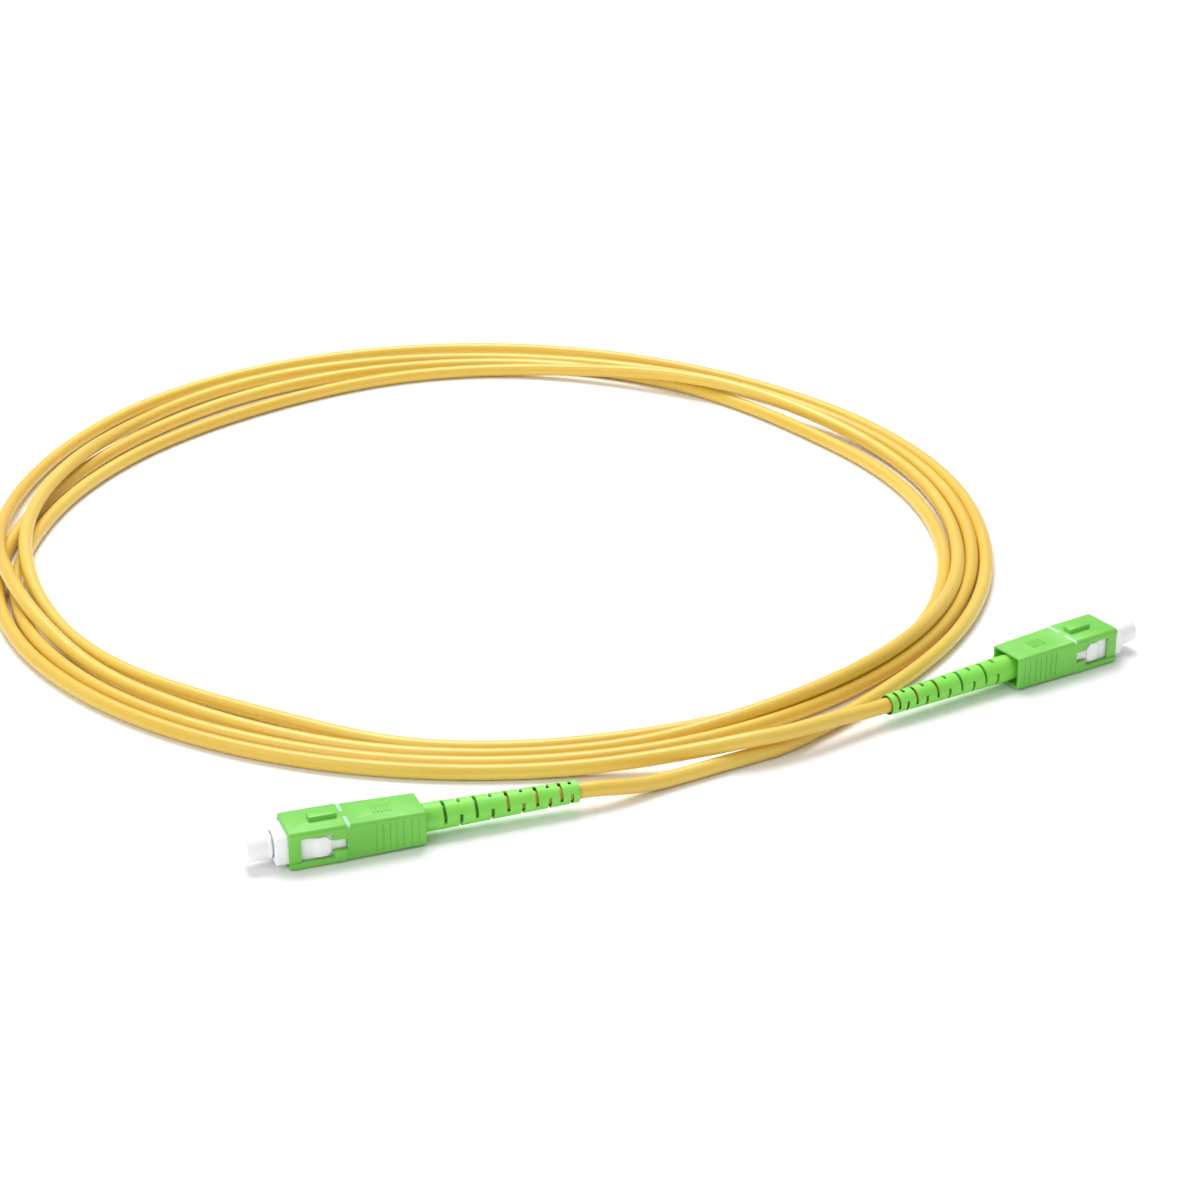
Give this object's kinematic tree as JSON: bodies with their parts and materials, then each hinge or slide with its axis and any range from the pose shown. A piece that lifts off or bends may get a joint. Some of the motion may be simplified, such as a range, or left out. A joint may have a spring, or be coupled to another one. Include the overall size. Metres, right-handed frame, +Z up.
{
  "type": "fibre optic patch cord",
  "caption": "Coiled simplex fibre optic patch cord with a push-pull plug, bend-relief boot and dust cap at each end.",
  "frame": {"origin": "on the surface the cord lies on, midway between the two plugs' outer limits", "axes": "+Z up, +X towards plug B's side, +Y towards the coil's far side"},
  "size_m": [0.2427, 0.2646, 0.0082],
  "materials": {
    "housing": "satin moulded green plastic",
    "boot": "matt soft green boot",
    "plug_frame": "satin white plastic",
    "dust_cap": "soft translucent white",
    "ferrule": "polished zirconia",
    "nickel": "nickel-plated brass, satin",
    "spring_steel": "bright drawn wire",
    "guide_tube": "milky tube",
    "yarn": "loose aramid yarn",
    "buffer": "white tight buffer",
    "jacket": "smooth yellow cable jacket"
  },
  "bodies": {
    "cord": {"plug_frame_a": "plug_frame", "spring_a": "spring_steel", "crimp_body_a": "nickel", "crimp_sleeve_a": "nickel", "aramid_yarn_a": "yarn", "fibre_buffer_a": "buffer", "jacket_end_a": "jacket", "boot_a": "boot", "plug_frame_b": "plug_frame", "spring_b": "spring_steel", "crimp_body_b": "nickel", "crimp_sleeve_b": "nickel", "aramid_yarn_b": "yarn", "fibre_buffer_b": "buffer", "jacket_end_b": "jacket", "boot_b": "boot", "cable_tail_a": "jacket", "cable_coil": "jacket", "cable_tail_b": "jacket"},
    "housing_a": {"outer_housing_a": "housing"},
    "ferrule_a": {"ferrule_a": "ferrule", "ferrule_flange_a": "nickel", "guide_tube_a": "guide_tube"},
    "cap_a": {"dust_cap_a": "dust_cap"},
    "housing_b": {"outer_housing_b": "housing"},
    "ferrule_b": {"ferrule_b": "ferrule", "ferrule_flange_b": "nickel", "guide_tube_b": "guide_tube"},
    "cap_b": {"dust_cap_b": "dust_cap"}
  },
  "joints": [
    {"name": "housing_slide_a", "type": "slide", "parent": "cord", "child": "housing_a", "axis": [0.9409, 0.3387, 0], "range_m": [0, 0.0016]},
    {"name": "ferrule_float_a", "type": "slide", "parent": "cord", "child": "ferrule_a", "axis": [0.9409, 0.3387, 0], "range_m": [0, 0.0009], "stiffness_N_per_m": 1500, "deforming": ["spring_a"]},
    {"name": "cap_pull_a", "type": "slide", "parent": "cord", "child": "cap_a", "axis": [-0.9409, -0.3387, 0], "range_m": [0, 0.01]},
    {"name": "housing_slide_b", "type": "slide", "parent": "cord", "child": "housing_b", "axis": [-0.8368, -0.5476, 0], "range_m": [0, 0.0016]},
    {"name": "ferrule_float_b", "type": "slide", "parent": "cord", "child": "ferrule_b", "axis": [-0.8368, -0.5476, 0], "range_m": [0, 0.0009], "stiffness_N_per_m": 1500, "deforming": ["spring_b"]},
    {"name": "cap_pull_b", "type": "slide", "parent": "cord", "child": "cap_b", "axis": [0.8368, 0.5476, 0], "range_m": [0, 0.01]}
  ]
}
